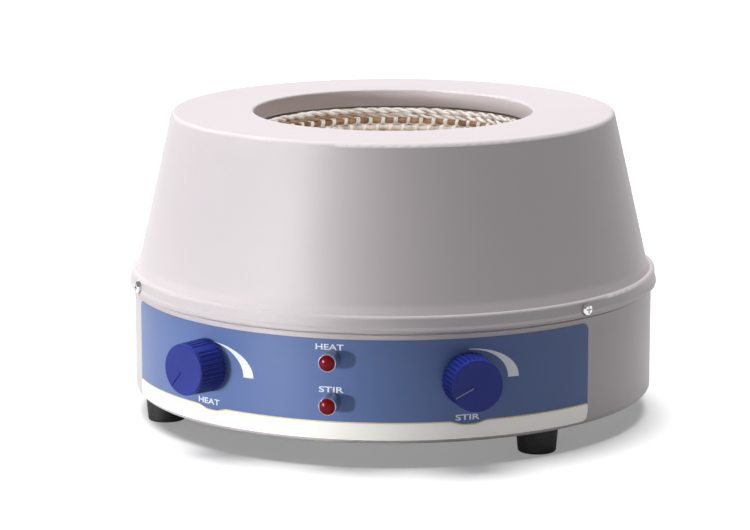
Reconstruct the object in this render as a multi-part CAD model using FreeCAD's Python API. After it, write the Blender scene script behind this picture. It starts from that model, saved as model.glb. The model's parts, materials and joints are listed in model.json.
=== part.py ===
"""Electric heating mantle with a magnetic stirrer, for a round bottom flask.

Millimetres, +Z up. The origin is on the bench, under the centre of the casing. The front panel faces -Y.
Controls are built in a local frame and set on the casing wall by on_wall(): there x runs to the
viewer's right, y runs up and z points out of the casing.
"""

import math
import os

import FreeCAD
import Part

V = FreeCAD.Vector
UP = V(0, 0, 1)
RIGHT = V(1, 0, 0)
ORIGIN = V(0, 0, 0)

# Casing
BASE_R = 165.0  # outer radius of the cylindrical base
SHEET = 1.5  # casing sheet thickness
FOOT_H = 15.0
TOP_Z = 192.0
HEM_R = 166.0  # inner edge of the hem under the hood's bead
BEAD_R = 168.2  # rolled bead along the hood's lower edge
BEAD_Z = (82.8, 85.0)
BAND_R = 167.2  # upright band above the bead
BAND_Z = (86.4, 93.7)
GROOVE = (163.9, 92.6)  # radius and height of the groove between the band and the flare
CONE_LOW = (161.5, 98.3)
CONE_TOP_R = 140.3
BASE_TOP_Z = 90.3
REVEAL_Z = (81.3, 82.6, 83.9)  # rolled V groove in the base that leaves a shadow line under the hood
REVEAL_DEPTH = 1.5
FLANGE_IN_R = 134.0  # inner edge of the base's turned-in flange
OPENING_R = 88.5
LIP_Z = 181.0  # lower end of the turned-in flask lip
PLATE_Z = FOOT_H + SHEET
PLATE_R = 160.0
PLATE_T = 1.5
FLOOR_Z = PLATE_Z + PLATE_T

# Heater
BOWL_R = 85.5  # inner radius of the knitted bowl, for a two litre flask
BOWL_T = 4.0
BOWL_Z = 178.0  # height of the bowl's centre
BOWL_RIM_R = 104.0
BOWL_RIM_T = 2.3
PAN_R = 100.0
PAN_T = 1.0
PAN_RIM_R = 118.0
STUD_R = 112.0  # pitch radius of the studs that hang the heater under the hood
SHIELD_Z = 73.0
SHIELD_R = 128.0
PILLAR_R = 118.0

# Controls, by azimuth from the front (positive to the viewer's right) and height
KNOB_AZ = 29.0
KNOB_Z = FOOT_H + 39.1
LAMP_AZ = 0.8
LAMP_HIGH_Z = FOOT_H + 51.4
LAMP_LOW_Z = FOOT_H + 25.1
HEAT_POINTER = -139.0  # pointer angles, clockwise from twelve o'clock
STIR_POINTER = -116.0
LABEL_T = 0.3
LABEL_HALF = 59.3  # half the label's wrap angle
LABEL_LOW = FOOT_H + 2.6
LABEL_HIGH = FOOT_H + 63.5
BUSH_R = 4.5
SHAFT_R = 3.0
RUN = 0.05  # radial running clearance

# Fasteners
M4 = 2.0
M3 = 1.5
SCREW_AZ = (-57.2, 57.6, 180.0)
HOOD_SCREW_Z = FOOT_H + 72.8
SCREW_SEAT_R = 4.3  # flat seats for the hood screws, spot-faced into the bead
FOOT_AZ = (49.5, 119.5, 229.5, 299.5)
FOOT_R = 149.0
PILLAR_AZ = (60.0, 180.0, 300.0)
STUD_AZ = (45.0, 135.0, 225.0, 315.0)

# Motor and rotor
MOTOR_R = 21.0
MOTOR_Z = (26.0, 56.0)
BRACKET_TOP = 58.0
CARRIER_Z = (62.5, 67.0)
CARRIER_R = 33.0

# Rear pocket with the mains inlet and switch
POCKET_Y = 160.5
POCKET_HALF = 34.0
POCKET_Z = (27.0, 72.0)
REAR_Z = sum(POCKET_Z) / 2
INLET_X = 13.0  # offset of the inlet from the middle, to the left seen from behind
SWITCH_X = 20.0


# ---------------------------------------------------------------- helpers


def save(name, *shapes):
    """Writes one node, as one solid or as a group of separate solids."""
    solids = [s for shape in shapes for s in shape.Solids]
    shape = solids[0] if len(solids) == 1 else Part.makeCompound(solids)
    shape.exportStep(os.path.join("parts", name + ".step"))


def cyl(radius, low, high, x=0.0, y=0.0):
    return Part.makeCylinder(radius, high - low, V(x, y, low))


def tube(outer, inner, low, high, x=0.0, y=0.0):
    return cyl(outer, low, high, x, y).cut(cyl(inner, low - 1, high + 1, x, y))


def box(x, y, z):
    """A box from (low, high) pairs."""
    return Part.makeBox(x[1] - x[0], y[1] - y[0], z[1] - z[0], V(x[0], y[0], z[0]))


def hexagon(across, low, high, x=0.0, y=0.0):
    radius = across / math.sqrt(3)
    ring = [V(x + radius * math.cos(math.radians(a)), y + radius * math.sin(math.radians(a)), low)
            for a in range(0, 361, 60)]
    return Part.Face(Part.makePolygon(ring)).extrude(V(0, 0, high - low))


def fuse(*shapes):
    return shapes[0].multiFuse(list(shapes[1:])).removeSplitter()


def rounded(shape, radius, pick):
    """Fillets the edges for which pick(edge) is true."""
    return shape.makeFillet(radius, [e for e in shape.Edges if pick(e)])


def at_height(z, beyond=-math.inf, within=math.inf):
    """Picks the edges lying flat at a height, whose far end in x is between two limits."""
    def pick(edge):
        bounds = edge.BoundBox
        return max(abs(bounds.ZMin - z), abs(bounds.ZMax - z)) < 0.01 and beyond < bounds.XMax < within
    return pick


def polar(radius, azimuth, z=0.0):
    """A point by azimuth from the front, positive to the viewer's right."""
    a = math.radians(azimuth)
    return V(radius * math.sin(a), -radius * math.cos(a), z)


def around(shape, radius, azimuths):
    """Copies of a vertical part on a pitch circle."""
    copies = []
    for azimuth in azimuths:
        copy = shape.copy()
        copy.translate(polar(radius, azimuth))
        copies.append(copy)
    return copies


def on_wall(shape, azimuth, z, radius=BASE_R):
    """Sets a part from the local control frame on the casing wall."""
    a = math.radians(azimuth)
    place = polar(radius, azimuth, z)
    matrix = FreeCAD.Matrix(
        math.cos(a), 0, math.sin(a), place.x,
        math.sin(a), 0, -math.cos(a), place.y,
        0, 1, 0, place.z,
        0, 0, 0, 1)
    copy = shape.copy()
    copy.Placement = FreeCAD.Placement(matrix).multiply(copy.Placement)
    return copy


def turn(profile, angle=360.0):
    """Revolves a closed wire in the (radius, height) plane about the Z axis."""
    return Part.Face(profile).revolve(ORIGIN, UP, angle)


def corners(points, radii):
    """Edges through points, with each inner corner rounded to its radius."""
    edges = []
    here = points[0]
    for before, corner, after, radius in zip(points, points[1:], points[2:], radii):
        if radius < 0.05:
            edges.append(Part.LineSegment(here, corner).toShape())
            here = corner
            continue
        a = (before - corner).normalize()
        b = (after - corner).normalize()
        half = a.getAngle(b) / 2
        start = corner + a * (radius / math.tan(half))
        end = corner + b * (radius / math.tan(half))
        middle = corner + (a + b).normalize() * (radius / math.sin(half) - radius)
        edges.append(Part.LineSegment(here, start).toShape())
        edges.append(Part.Arc(start, middle, end).toShape())
        here = end
    edges.append(Part.LineSegment(here, points[-1]).toShape())
    return edges


def bent_sheet(outline, radii, thickness):
    """A turned sheet part. The outline is its outer face as (radius, height); the sheet lies on its left."""
    outer = [V(r, 0, z) for r, z in outline]
    ways = [(b - a).normalize() for a, b in zip(outer, outer[1:])]
    sides = [V(-w.z, 0, w.x) * thickness for w in ways]
    inner = [outer[0] + sides[0]]
    inner_radii = []
    for i, radius in enumerate(radii):
        bend = (sides[i] + sides[i + 1]).normalize()
        reach = thickness / math.cos(sides[i].getAngle(sides[i + 1]) / 2)
        inner.append(outer[i + 1] + bend * reach)
        left_turn = ways[i].x * ways[i + 1].z - ways[i].z * ways[i + 1].x > 0
        inner_radii.append(max(0.0, radius - thickness if left_turn else radius + thickness))
    inner.append(outer[-1] + sides[-1])
    edges = corners(outer, radii) + [Part.LineSegment(outer[-1], inner[-1]).toShape()]
    edges += corners(inner[::-1], inner_radii[::-1]) + [Part.LineSegment(inner[0], outer[0]).toShape()]
    return turn(Part.Wire(Part.__sortEdges__(edges)))


def half_bowl(outer, inner, centre, top):
    """A bowl between two spheres, cut off level at top."""
    shell = Part.makeSphere(outer, V(0, 0, centre)).cut(Part.makeSphere(inner, V(0, 0, centre)))
    return shell.common(cyl(outer + 1, centre - outer - 1, top))


def pan_head(thread, length, head_r, head_h):
    """A cross-recess screw with its head's seat at z 0 and its thread along -z."""
    head = Part.makeCylinder(head_r, head_h)
    head = rounded(head, head_h * 0.55, at_height(head_h))
    screw = fuse(head, cyl(thread, -length, 0.1))
    arm = head_r * 0.62
    slot = head_r * 0.13
    recess = box((-arm, arm), (-slot, slot), (head_h * 0.4, head_h + 1))
    recess = recess.fuse(box((-slot, slot), (-arm, arm), (head_h * 0.4, head_h + 1)))
    return screw.cut(recess)


def nut_m4(low):
    return hexagon(7.0, low, low + 3.2).cut(cyl(M4, low - 1, low + 4))


def upside_down(shape, z):
    """Turns a part over and moves its z 0 to the given height."""
    copy = shape.copy()
    copy.rotate(ORIGIN, RIGHT, 180)
    copy.translate(V(0, 0, z))
    return copy


def lifted(shape, x, y, z):
    copy = shape.copy()
    copy.translate(V(x, y, z))
    return copy


def wire(points, radius):
    """A round lead along a smooth path."""
    path = Part.BSplineCurve()
    path.interpolate([V(*p) for p in points])
    spine = Part.Wire(path.toShape())
    start = V(*points[0])
    section = Part.Wire(Part.Circle(start, path.tangent(path.FirstParameter)[0], radius).toShape())
    return spine.makePipeShell([section], True, True)


# ---------------------------------------------------------------- casing


def hood_shell():
    """Conical top casing: hem, bead, band, groove, flare, cone, flat top and turned-in flask lip."""
    outline = [
        (HEM_R, BEAD_Z[0]), (BEAD_R, BEAD_Z[0]), (BEAD_R, BEAD_Z[1]), (BAND_R, BAND_Z[0]),
        (BAND_R, BAND_Z[1]), GROOVE, CONE_LOW, (CONE_TOP_R, TOP_Z), (OPENING_R, TOP_Z), (OPENING_R, LIP_Z)]
    hood = bent_sheet(outline, [1.0, 1.0, 1.0, 1.8, 0.4, 14.0, 3.0, 1.5], SHEET)
    drill = cyl(M4 + 0.3, -8, 8).fuse(cyl(SCREW_SEAT_R, BAND_R - BASE_R, 8))
    return hood.cut(Part.makeCompound([on_wall(drill, azimuth, HOOD_SCREW_Z) for azimuth in SCREW_AZ]))


def rear_pocket(grow):
    return box((-POCKET_HALF - grow, POCKET_HALF + grow), (POCKET_Y - grow, BASE_R + 5),
               (POCKET_Z[0] - grow, POCKET_Z[1] + grow))


def base_shell():
    """Cylindrical lower casing with a turned-in flange, a reveal, control holes and a flat rear pocket."""
    outline = [
        (FLANGE_IN_R, FOOT_H), (BASE_R, FOOT_H), (BASE_R, REVEAL_Z[0]), (BASE_R - REVEAL_DEPTH, REVEAL_Z[1]),
        (BASE_R, REVEAL_Z[2]), (BASE_R, BASE_TOP_Z)]
    shell = bent_sheet(outline, [3.0, 0.4, 0.3, 0.4], SHEET)
    pocket_wall = rear_pocket(SHEET).common(cyl(BASE_R, FOOT_H, BASE_TOP_Z)).cut(rear_pocket(0))
    shell = fuse(shell.cut(rear_pocket(0)), pocket_wall)
    cuts = [on_wall(cyl(BUSH_R + 0.25, -8, 8), side * KNOB_AZ, KNOB_Z) for side in (-1, 1)]
    cuts += [on_wall(cyl(4.15, -8, 8), LAMP_AZ, z) for z in (LAMP_HIGH_Z, LAMP_LOW_Z)]
    cuts += [on_wall(cyl(M4 + 0.3, -8, 8), azimuth, HOOD_SCREW_Z) for azimuth in SCREW_AZ]
    cuts += around(cyl(M4 + 0.3, FOOT_H - 1, FOOT_H + 5), FOOT_R, FOOT_AZ)
    inlet_hole = box((-13.8, 13.8), (-15.8, 15.8), (-6, 6))
    switch_hole = box((-6.6, 6.6), (-9.7, 9.7), (-6, 6))
    cuts += [on_wall(lifted(inlet_hole, -INLET_X, 0, 0), 180, REAR_Z, POCKET_Y)]
    cuts += [on_wall(lifted(switch_hole, SWITCH_X, 0, 0), 180, REAR_Z, POCKET_Y)]
    return shell.cut(Part.makeCompound(cuts))


def vent_slot(x, y, length=34.0, width=3.6):
    body = box((x - length / 2, x + length / 2), (y - width / 2, y + width / 2), (PLATE_Z - 1, FLOOR_Z + 1))
    ends = [cyl(width / 2, PLATE_Z - 1, FLOOR_Z + 1, x + s * length / 2, y) for s in (-1, 1)]
    return fuse(body, *ends)


def base_plate():
    """Bottom plate with vent slots, on the base shell's flange."""
    plate = cyl(PLATE_R, PLATE_Z, FLOOR_Z)
    cuts = around(cyl(M4 + 0.3, PLATE_Z - 1, FLOOR_Z + 1), FOOT_R, FOOT_AZ)
    cuts += around(cyl(M4 + 0.3, PLATE_Z - 1, FLOOR_Z + 1), PILLAR_R, PILLAR_AZ)
    cuts += [cyl(M4 + 0.3, PLATE_Z - 1, FLOOR_Z + 1, x, y) for x, y in BRACKET_SCREWS]
    cuts += [cyl(M3 + 0.2, PLATE_Z - 1, FLOOR_Z + 1, x, y) for x, y in FLOOR_SCREWS]
    for side in (-1, 1):
        cuts += [vent_slot(side * 78, y) for y in range(-84, -36, 8)]
        cuts += [vent_slot(side * 26, y) for y in range(-100, -52, 8)]
    return plate.cut(Part.makeCompound(cuts))


def front_label():
    """Printed film round the front of the base, with rounded corners and clearance holes."""
    ring = tube(BASE_R + LABEL_T, BASE_R + 0.02, LABEL_LOW, LABEL_HIGH)
    wedge = Part.makeCylinder(BASE_R + 5, TOP_Z, ORIGIN, UP, 2 * LABEL_HALF)
    wedge.rotate(ORIGIN, UP, -90 - LABEL_HALF)
    film = ring.common(wedge)
    corner = 5.0
    trim = box((-1, corner), (-1, corner), (-8, 8)).cut(cyl(corner, -9, 9, corner, corner))
    for side in (-1, 1):
        for low in (True, False):
            piece = trim.copy()
            if not low:
                piece.rotate(ORIGIN, RIGHT, 180)
            if side > 0:
                piece.rotate(ORIGIN, V(0, 1, 0), 180)
            film = film.cut(on_wall(piece, side * LABEL_HALF, LABEL_LOW if low else LABEL_HIGH))
    holes = [on_wall(cyl(BUSH_R + 0.25, -8, 8), side * KNOB_AZ, KNOB_Z) for side in (-1, 1)]
    holes += [on_wall(cyl(4.15, -8, 8), LAMP_AZ, z) for z in (LAMP_HIGH_Z, LAMP_LOW_Z)]
    return film.cut(Part.makeCompound(holes))


# ---------------------------------------------------------------- feet and hood fasteners


def foot():
    """Tapered rubber foot with a counterbore for its screw."""
    body = Part.makeCone(11.6, 13.0, FOOT_H)
    body = rounded(body, 1.2, at_height(0))
    return body.cut(cyl(4.6, -1, 8)).cut(cyl(M4 + 0.1, 7, FOOT_H + 1))


def foot_set():
    """The feet and their screws. Returns the nuts inside."""
    screw = upside_down(pan_head(M4, 14.5, 3.9, 2.6), 8.0)
    save("rubber_feet", *around(foot(), FOOT_R, FOOT_AZ))
    save("foot_screws", *around(screw, FOOT_R, FOOT_AZ))
    return around(nut_m4(FLOOR_Z), FOOT_R, FOOT_AZ)


def hood_fasteners():
    seat = BAND_R - BASE_R
    screw = pan_head(M4, 10.0, 3.8, 2.8)
    clip = box((-8, 8), (-3.6, 2.4), (-4.4, -2.2)).cut(cyl(M4, -10, 10))
    save("hood_screws", *[on_wall(lifted(screw, 0, 0, seat + 0.05), a, HOOD_SCREW_Z) for a in SCREW_AZ])
    save("hood_nut_clips", *[on_wall(clip, a, HOOD_SCREW_Z) for a in SCREW_AZ])


# ---------------------------------------------------------------- heater


def heater():
    rim_top = BOWL_Z + BOWL_RIM_T
    bowl = half_bowl(BOWL_R + BOWL_T, BOWL_R, BOWL_Z, BOWL_Z)
    rim = tube(BOWL_RIM_R, BOWL_R, BOWL_Z, rim_top)
    save("heating_bowl", rounded(fuse(bowl, rim), 1.5, at_height(rim_top, within=90)))
    save("bowl_insulation", half_bowl(PAN_R - 0.2, BOWL_R + BOWL_T + 0.2, BOWL_Z, BOWL_Z - 0.2))
    rim_low = BOWL_Z - PAN_T
    pan = half_bowl(PAN_R + PAN_T, PAN_R, BOWL_Z, rim_low)
    pan = fuse(pan, tube(PAN_RIM_R, PAN_R, rim_low, BOWL_Z - 0.05))
    ring = tube(PAN_RIM_R, 91.0, rim_top, rim_top + 1.0)
    hole = cyl(M4 + 0.2, rim_low - 1, rim_top + 2)
    lead_hole = cyl(3.5, rim_low - 5, BOWL_Z + 1, 0, 109.5)
    holes = Part.makeCompound(around(hole, STUD_R, STUD_AZ) + [lead_hole])
    save("heater_pan", pan.cut(holes))
    save("bowl_clamp_ring", ring.cut(Part.makeCompound(around(hole, STUD_R, STUD_AZ))))
    ceiling = TOP_Z - SHEET
    spacer = tube(4.0, M4 + 0.1, rim_top + 1.0, ceiling)
    stud = cyl(M4, rim_low - 6, ceiling)
    save("stud_spacers", *around(spacer, STUD_R, STUD_AZ))
    save("hood_studs", *around(stud, STUD_R, STUD_AZ))
    save("stud_nuts", *around(nut_m4(rim_low - 3.2), STUD_R, STUD_AZ))


def heat_shield():
    """Aluminium disc with a turned-down rim, between the heater and the electronics."""
    outline = [(SHIELD_R, SHIELD_Z - 7), (SHIELD_R, SHIELD_Z + 1), (0.0, SHIELD_Z + 1)]
    shield = bent_sheet(outline, [2.0], 1.0)
    hole = cyl(M4 + 0.3, SHIELD_Z - 1, SHIELD_Z + 2)
    shield = shield.cut(Part.makeCompound(around(hole, PILLAR_R, PILLAR_AZ)))
    pillar = hexagon(7.0, FLOOR_Z, SHIELD_Z).cut(cyl(M4, FLOOR_Z - 1, FLOOR_Z + 9))
    pillar = pillar.cut(cyl(M4, SHIELD_Z - 9, SHIELD_Z + 1))
    top = lifted(pan_head(M4, 7.0, 3.9, 2.4), 0, 0, SHIELD_Z + 1)
    bottom = upside_down(pan_head(M4, 7.0, 3.9, 2.4), PLATE_Z)
    save("heat_shield", shield)
    save("shield_pillars", *around(pillar, PILLAR_R, PILLAR_AZ))
    save("pillar_screws", *around(top, PILLAR_R, PILLAR_AZ), *around(bottom, PILLAR_R, PILLAR_AZ))


# ---------------------------------------------------------------- stirrer drive

BRACKET_HALF = 35.0
BRACKET_DEPTH = 23.0
BRACKET_SCREWS = [(x, y) for x in (-42.0, 42.0) for y in (-14.0, 14.0)]
MOTOR_SCREW_R = 14.0


def motor_bracket():
    """U-shaped bracket that hangs the motor under its top plate."""
    depth = (-BRACKET_DEPTH, BRACKET_DEPTH)
    top = box((-BRACKET_HALF, BRACKET_HALF), depth, (BRACKET_TOP - 2, BRACKET_TOP))
    parts = [top]
    for side in (-1, 1):
        leg = sorted((side * BRACKET_HALF, side * (BRACKET_HALF - 2)))
        foot_x = sorted((side * (BRACKET_HALF - 2), side * (BRACKET_HALF + 14)))
        parts += [box(leg, depth, (FLOOR_Z, BRACKET_TOP)), box(foot_x, depth, (FLOOR_Z, FLOOR_Z + 2))]
    bracket = fuse(*parts)
    bracket = rounded(bracket, 2.5, lambda e: at_height(BRACKET_TOP)(e) and e.BoundBox.XLength < 0.1)
    cuts = [cyl(8.2, BRACKET_TOP - 3, BRACKET_TOP + 1)]
    cuts += [cyl(M3 + 0.2, BRACKET_TOP - 3, BRACKET_TOP + 1, s * MOTOR_SCREW_R, 0) for s in (-1, 1)]
    cuts += [cyl(M4 + 0.3, FLOOR_Z - 1, FLOOR_Z + 3, x, y) for x, y in BRACKET_SCREWS]
    return bracket.cut(Part.makeCompound(cuts))


def stirrer_drive():
    """The motor on its bracket. Returns the bracket's nuts under the plate."""
    low, high = MOTOR_Z
    can = fuse(cyl(MOTOR_R, low, high), cyl(8.0, high, high + 2.5), cyl(7.0, low - 2, low))
    for end in (low, high):
        can = rounded(can, 1.5, at_height(end, beyond=MOTOR_R - 1))
    can = can.cut(cyl(4.0, high - 4, high + 3))
    can = can.cut(cyl(2.6 + RUN, low + 4, high + 3)).cut(tube(9, 2.6 + RUN, low + 8, 50))
    can = can.cut(Part.makeCompound([cyl(M3, high - 4, high + 1, s * MOTOR_SCREW_R, 0) for s in (-1, 1)]))
    bearing = tube(4.0, 2.5 + RUN, high - 4, high + 2.4)
    screws = [lifted(pan_head(M3, 5.0, 2.7, 1.8), s * MOTOR_SCREW_R, 0, BRACKET_TOP) for s in (-1, 1)]
    feet = [lifted(pan_head(M4, 5.5, 3.9, 2.4), x, y, FLOOR_Z + 2) for x, y in BRACKET_SCREWS]
    save("motor_bracket", motor_bracket())
    save("stir_motor", can)
    save("motor_bearing", bearing)
    save("motor_screws", *screws, *feet)
    return [lifted(nut_m4(PLATE_Z - 3.2), x, y, 0) for x, y in BRACKET_SCREWS]


def stirrer_rotor():
    """Shaft with its armature, and the carrier that turns the two drive magnets under the heater."""
    low, high = MOTOR_Z
    armature = cyl(8.6, low + 9, 49)
    shaft = fuse(cyl(2.5, low + 5, CARRIER_Z[1] + 1), armature)
    bottom, top = CARRIER_Z
    carrier = fuse(cyl(CARRIER_R, bottom, top), cyl(7.0, bottom - 2.8, bottom))
    for end in (bottom, top):
        carrier = rounded(carrier, 1.0, at_height(end, beyond=20))
    pockets = [cyl(8.05, bottom + 1.5, top + 1, s * 21, 0) for s in (-1, 1)]
    carrier = carrier.cut(Part.makeCompound(pockets + [cyl(2.5, bottom - 4, top + 1)]))
    set_hole = Part.makeCylinder(1.0, 9, V(0, 0, bottom - 1.4), V(0, -1, 0))
    grub = Part.makeCylinder(1.0, 4.0, V(0, -2.5, bottom - 1.4), V(0, -1, 0))
    save("rotor_shaft", shaft)
    save("magnet_carrier", carrier.cut(set_hole.cut(cyl(2.5, bottom - 4, top + 1))))
    save("drive_magnets", *[rounded(cyl(8.0, bottom + 1.5, top + 1.5, s * 21, 0), 0.6, at_height(top + 1.5))
                            for s in (-1, 1)])
    save("carrier_grub_screw", grub)


# ---------------------------------------------------------------- knobs and potentiometers

KNOB_BACK = 1.7
KNOB_FACE = 22.0
KNOB_BACK_R = 16.3
KNOB_FACE_R = 15.8
KNOB_FLUTES = 36
FLUTE_R = 1.05
GRUB_Z = 10.0
POINTER_HALF = 0.8  # half width and depth of the pointer's V groove


def knob(pointer):
    """Tapered knob with a fluted side, a plain face and a V-shaped pointer groove."""
    body = Part.makeCone(KNOB_BACK_R, KNOB_FACE_R, KNOB_FACE - KNOB_BACK, V(0, 0, KNOB_BACK))
    body = rounded(body, 1.0, at_height(KNOB_FACE))
    lean = math.degrees(math.atan((KNOB_BACK_R - KNOB_FACE_R) / (KNOB_FACE - KNOB_BACK)))
    flutes = []
    for i in range(KNOB_FLUTES):
        out = KNOB_BACK_R + 0.3
        flute = Part.makeCylinder(FLUTE_R, KNOB_FACE - KNOB_BACK - 1.8, V(out, 0, KNOB_BACK - 1))
        flute = fuse(flute, Part.makeSphere(FLUTE_R, V(out, 0, KNOB_FACE - 2.8)))
        flute.rotate(V(KNOB_BACK_R, 0, KNOB_BACK), V(0, 1, 0), -lean)
        flute.rotate(ORIGIN, UP, 360.0 / KNOB_FLUTES * (i + 0.5))
        flutes.append(flute)
    body = body.cut(Part.makeCompound(flutes))
    body = body.cut(cyl(9.5, 0, 6.6)).cut(cyl(SHAFT_R, 6, 17.2))
    notch = [(-POINTER_HALF, 0), (0, -POINTER_HALF), (POINTER_HALF, 0), (-POINTER_HALF, 0)]
    notch = Part.Face(Part.makePolygon([V(x, 2.0, KNOB_FACE + 0.01 + z) for x, z in notch]))
    line = notch.extrude(V(0, KNOB_BACK_R, 0))
    line.rotate(ORIGIN, UP, -pointer)
    grub = Part.makeCylinder(M3, KNOB_BACK_R, V(0, -SHAFT_R, GRUB_Z), V(0, -1, 0))
    return body.cut(line).cut(grub)


def control(name, azimuth, pointer):
    """A knob with its grub screw, and the potentiometer it turns. Returns the potentiometer's nut."""
    def put(shape):
        return on_wall(shape, azimuth, KNOB_Z)
    case = fuse(rounded(cyl(12.0, -14.0, -2.4), 0.8, at_height(-14.0)), cyl(BUSH_R, -2.4, 6.0))
    case = fuse(case, box((-7, 7), (-17.0, -9.0), (-8.6, -7.4)))
    case = case.cut(cyl(SHAFT_R + RUN, -12.0, 7.0)).cut(cyl(8.3, -10.0, -7.0))
    shaft = fuse(cyl(SHAFT_R, -11.5, 17.0), cyl(8.0, -9.7, -7.3))
    nut = fuse(hexagon(12.0, 0.9, 3.1), cyl(7.2, 0.4, 0.9)).cut(cyl(BUSH_R, -1, 4))
    grub = Part.makeCylinder(M3 - 0.02, 6.0, V(0, -SHAFT_R - 0.02, GRUB_Z), V(0, -1, 0))
    save(name + "_knob", put(knob(pointer)))
    save(name + "_knob_grub_screw", put(grub))
    save(name + "_pot_shaft", put(shaft))
    save(name + "_pot_case", put(case))
    return put(nut)


# ---------------------------------------------------------------- indicator lamps

LAMP_OUT = 12.2
LAMP_R = 5.5
LENS_R = 4.95
DOME_R = 6.8  # spherical radius of the lens front
DOME_RISE = 2.0


def lamp(name, z):
    """A bright bezel through the wall with a domed lens. Returns the diode and the nut behind it."""
    def put(shape):
        return on_wall(shape, LAMP_AZ, z)
    bezel = fuse(cyl(LAMP_R, 0.45, LAMP_OUT), cyl(4.0, -13.0, 1.0))
    bezel = rounded(bezel, 0.5, at_height(LAMP_OUT))
    bezel = bezel.cut(cyl(LENS_R + RUN, 3.0, LAMP_OUT + 1)).cut(cyl(2.9, -14, 4))
    dome = Part.makeSphere(DOME_R, V(0, 0, LAMP_OUT + DOME_RISE - DOME_R))
    dome = dome.common(cyl(LENS_R, LAMP_OUT - 2.0, LAMP_OUT + 3))
    lens = fuse(cyl(LENS_R, 3.0, LAMP_OUT - 1.9), dome).cut(cyl(3.2, 2, 6.5))
    led = fuse(cyl(2.5, -6.0, 3.5), Part.makeSphere(2.5, V(0, 0, 3.5)))
    led = fuse(led, cyl(0.3, -16, -6, 1.27), cyl(0.3, -16, -6, -1.27))
    nut = hexagon(11.0, -4.4, -2.1).cut(cyl(4.0, -6, 0))
    save(name + "_lamp_bezel", put(bezel))
    save(name + "_lamp_lens", put(lens))
    return put(led), put(nut)


# ---------------------------------------------------------------- mains inlet and switch


def mains_inlet():
    """Appliance inlet with three pins and a fuse drawer under them."""
    def put(shape):
        return on_wall(lifted(shape, -INLET_X, 0, 0), 180, REAR_Z, POCKET_Y)
    flange = box((-16, 16), (-18.5, 18.5), (0, 2.5))
    flange = rounded(flange, 2.0, lambda e: e.BoundBox.ZLength > 2)
    flange = rounded(flange, 0.8, at_height(2.5))
    case = fuse(flange, box((-13.6, 13.6), (-15.6, 15.6), (-22, 0)))
    wide, tall, chamfer, rise = 12.1, 8.2, 4.2, 6.2
    mouth = [(-wide, -tall), (wide, -tall), (wide, tall - chamfer), (wide - chamfer, tall),
             (-wide + chamfer, tall), (-wide, tall - chamfer), (-wide, -tall)]
    cavity = Part.Face(Part.makePolygon([V(x, y + rise, -15) for x, y in mouth])).extrude(V(0, 0, 20))
    slot = box((-11.7, 11.7), (-13.9, -4.7), (-13.3, 5))
    case = case.cut(cavity).cut(slot)
    pins, tabs = [], []
    for x, y in ((-7.0, rise - 2), (7.0, rise - 2), (0.0, rise + 2)):
        pins.append(rounded(box((x - 1, x + 1), (y - 2, y + 2), (-15, -2.5)), 0.6, at_height(-2.5)))
        tabs.append(box((x - 0.4, x + 0.4), (y - 3.1, y + 3.1), (-30, -22)))
    save("mains_inlet", put(case))
    save("inlet_pins", *[put(p) for p in pins + tabs])
    front = rounded(box((-11.5, 11.5), (-13.7, -4.9), (-13, 3.3)), 0.8, lambda e: e.BoundBox.ZLength > 10)
    drawer = fuse(front, rounded(box((-4, 4), (-6.6, -5.4), (3.2, 4.6)), 0.4, at_height(4.6)))
    drawer = drawer.cut(box((-10.4, 10.4), (-12.3, -6.3), (-11.5, -3.5)))
    fuse_link = Part.makeCylinder(2.55, 20.0, V(-10, -9.3, -7.5), RIGHT)
    save("fuse_drawer", put(drawer))
    save("fuse_link", put(fuse_link))


ROCKER_SWING = 9.0  # tilt of the rocker either side of level, in degrees
PIVOT_OUT = -1.5  # the rocker's pivot, measured out of the pocket's face


def mains_switch():
    """Rocker switch. The rocker rests tilted to off."""
    def put(shape):
        return on_wall(lifted(shape, SWITCH_X, 0, 0), 180, REAR_Z, POCKET_Y)

    def along_x(radius, half):
        return Part.makeCylinder(radius, 2 * half, V(-half, 0, PIVOT_OUT), RIGHT)
    flange = rounded(box((-8.2, 8.2), (-11.2, 11.2), (0, 1.8)), 1.2, lambda e: e.BoundBox.ZLength > 1)
    case = fuse(rounded(flange, 0.6, at_height(1.8)), box((-6.4, 6.4), (-9.5, 9.5), (-16, 0)))
    case = case.cut(along_x(8.9, 5.5)).cut(along_x(1.0 + RUN, 6.1))
    tabs = [box((-3.2, 3.2), (y - 0.4, y + 0.4), (-24, -16)) for y in (-6.0, 6.0)]
    end, lift, valley = 8.1, 2.6, 1.9
    section = [V(0, end, PIVOT_OUT + lift), V(0, 0, PIVOT_OUT + valley), V(0, -end, PIVOT_OUT + lift),
               V(0, -end, -5.2), V(0, end, -5.2), V(0, end, PIVOT_OUT + lift)]
    slab = Part.Face(Part.makePolygon(section)).extrude(V(10.6, 0, 0))
    slab.translate(V(-5.3, 0, 0))
    rocker = fuse(slab.common(along_x(8.6, 6)), along_x(1.0, 6.0))
    rocker.rotate(V(0, 0, PIVOT_OUT), RIGHT, ROCKER_SWING)
    save("mains_switch_case", put(case), *[put(t) for t in tabs])
    save("mains_switch_rocker", put(rocker))


# ---------------------------------------------------------------- electronics on the floor

BOARD_X = (-120.0, -50.0)
BOARD_Y = (4.0, 74.0)
BOARD_Z = FLOOR_Z + 8
BOARD_T = 1.6
BOARD_SCREWS = [(x, y) for x in (BOARD_X[0] + 8, BOARD_X[1] - 5) for y in (BOARD_Y[0] + 5, BOARD_Y[1] - 8)]
SUPPLY_AT = (88.0, 52.0)
SUPPLY_SCREWS = [(SUPPLY_AT[0] + s * 30, SUPPLY_AT[1]) for s in (-1, 1)]
BLOCK_AT = (0.0, 88.0)
FLOOR_SCREWS = BOARD_SCREWS + SUPPLY_SCREWS + [BLOCK_AT]


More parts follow.
